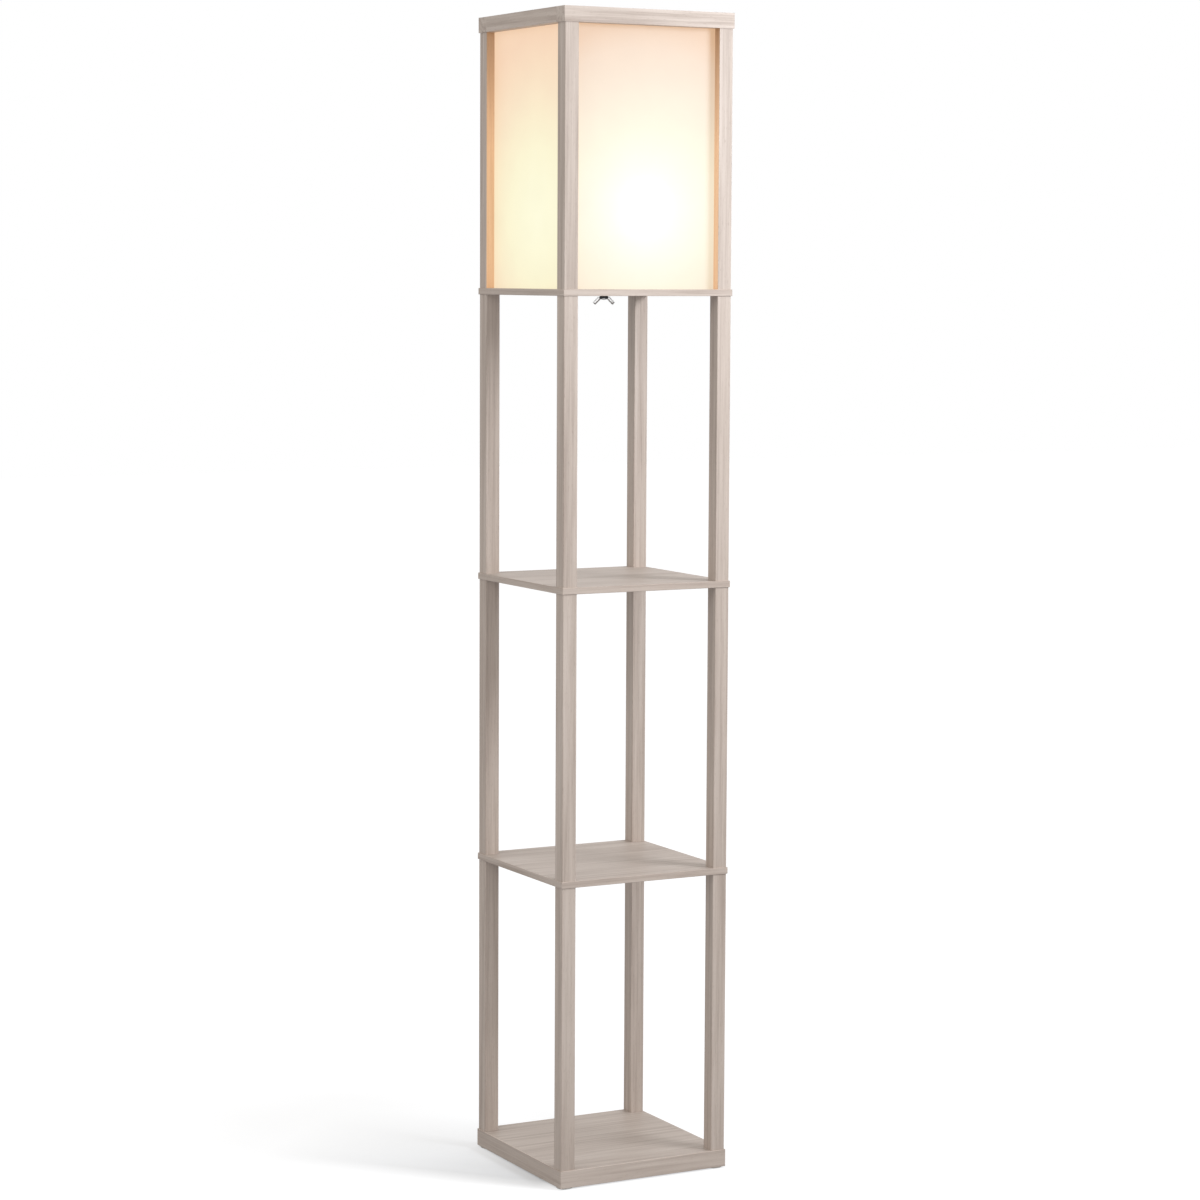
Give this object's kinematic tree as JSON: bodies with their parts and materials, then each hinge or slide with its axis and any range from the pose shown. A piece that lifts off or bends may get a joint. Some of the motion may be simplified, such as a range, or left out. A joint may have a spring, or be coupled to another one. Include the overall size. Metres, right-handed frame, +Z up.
{
  "type": "shelf floor lamp",
  "caption": "Tall square floor lamp with open shelves between corner posts and a translucent panelled lantern on top.",
  "frame": {"origin": "on the floor under the middle of the tower", "axes": "+Z up, -Y towards the front"},
  "size_m": [0.26, 0.26, 1.6],
  "materials": {
    "greige_laminate": "matt printed oak grain",
    "edge_banding": "matt printed oak grain",
    "foot_rubber": "matt",
    "zinc_steel": "bright zinc",
    "beech": "plain",
    "plug_plastic": "matt",
    "shade_sheet": "translucent white",
    "holder_plastic": "satin white",
    "cord_rubber": "matt",
    "holder_ceramic": "matt",
    "contact_brass": "bright",
    "solder": "dull",
    "bulb_black": "gloss",
    "bulb_cap_metal": "satin",
    "bulb_white": "satin",
    "bulb_opal": "opal, lit"
  },
  "bodies": {
    "root": {"base_board": "greige_laminate", "base_bolts": "zinc_steel", "base_edge_bands": "edge_banding", "cap_back_rail": "greige_laminate", "cap_bolts": "zinc_steel", "cap_dowels": "beech", "cap_front_rail": "greige_laminate", "cap_left_rail": "greige_laminate", "cap_plugs": "plug_plastic", "cap_right_rail": "greige_laminate", "cord_grommet": "cord_rubber", "foot_pads": "foot_rubber", "holder_bolt": "zinc_steel", "holder_centre_contact": "contact_brass", "holder_cord_bush": "cord_rubber", "holder_core": "holder_ceramic", "holder_cup": "holder_plastic", "holder_screw_shell": "contact_brass", "holder_sleeve": "holder_plastic", "holder_terminal_screws": "zinc_steel", "joining_studs": "zinc_steel", "lamp_platform": "greige_laminate", "lamp_post_back_left": "greige_laminate", "lamp_post_back_right": "greige_laminate", "lamp_post_front_left": "greige_laminate", "lamp_post_front_right": "greige_laminate", "lower_post_back_left": "greige_laminate", "lower_post_back_right": "greige_laminate", "lower_post_front_left": "greige_laminate", "lower_post_front_right": "greige_laminate", "lower_shelf": "greige_laminate", "lower_shelf_edge_bands": "edge_banding", "middle_post_back_left": "greige_laminate", "middle_post_back_right": "greige_laminate", "middle_post_front_left": "greige_laminate", "middle_post_front_right": "greige_laminate", "platform_edge_bands": "edge_banding", "post_inserts": "zinc_steel", "shade_panel_back": "shade_sheet", "shade_panel_front": "shade_sheet", "shade_panel_left": "shade_sheet", "shade_panel_right": "shade_sheet", "upper_post_back_left": "greige_laminate", "upper_post_back_right": "greige_laminate", "upper_post_front_left": "greige_laminate", "upper_post_front_right": "greige_laminate", "upper_shelf": "greige_laminate", "upper_shelf_edge_bands": "edge_banding"},
    "bulb_foot": {"bulb_contact": "solder"},
    "bulb": {"bulb_insulator": "bulb_black", "bulb_cap": "bulb_cap_metal", "bulb_housing": "bulb_white", "bulb_globe": "bulb_opal"},
    "nut_washer": {"nut_washer": "zinc_steel"},
    "wing_nut": {"wing_nut": "zinc_steel"}
  },
  "joints": [
    {"name": "bulb_rise", "type": "slide", "parent": "root", "child": "bulb_foot", "axis": [0, 0, 1], "range_m": [0, 0.02178]},
    {"name": "bulb_turn", "type": "hinge", "parent": "bulb_foot", "child": "bulb", "pos_m": [0, 0, 1.262], "axis": [0, 0, 1], "range_deg": [0, 2160]},
    {"name": "nut_drop", "type": "slide", "parent": "root", "child": "nut_washer", "axis": [0, 0, -1], "range_m": [0, 0.00401]},
    {"name": "nut_turn", "type": "hinge", "parent": "nut_washer", "child": "wing_nut", "pos_m": [0, 0, 1.2158], "axis": [0, 0, -1], "range_deg": [0, 1440]}
  ],
  "couplings": [
    {"joint": "bulb_rise", "follows": "bulb_turn", "m_per_rad": 0.00057757},
    {"joint": "nut_drop", "follows": "nut_turn", "m_per_rad": 0.00015915}
  ]
}
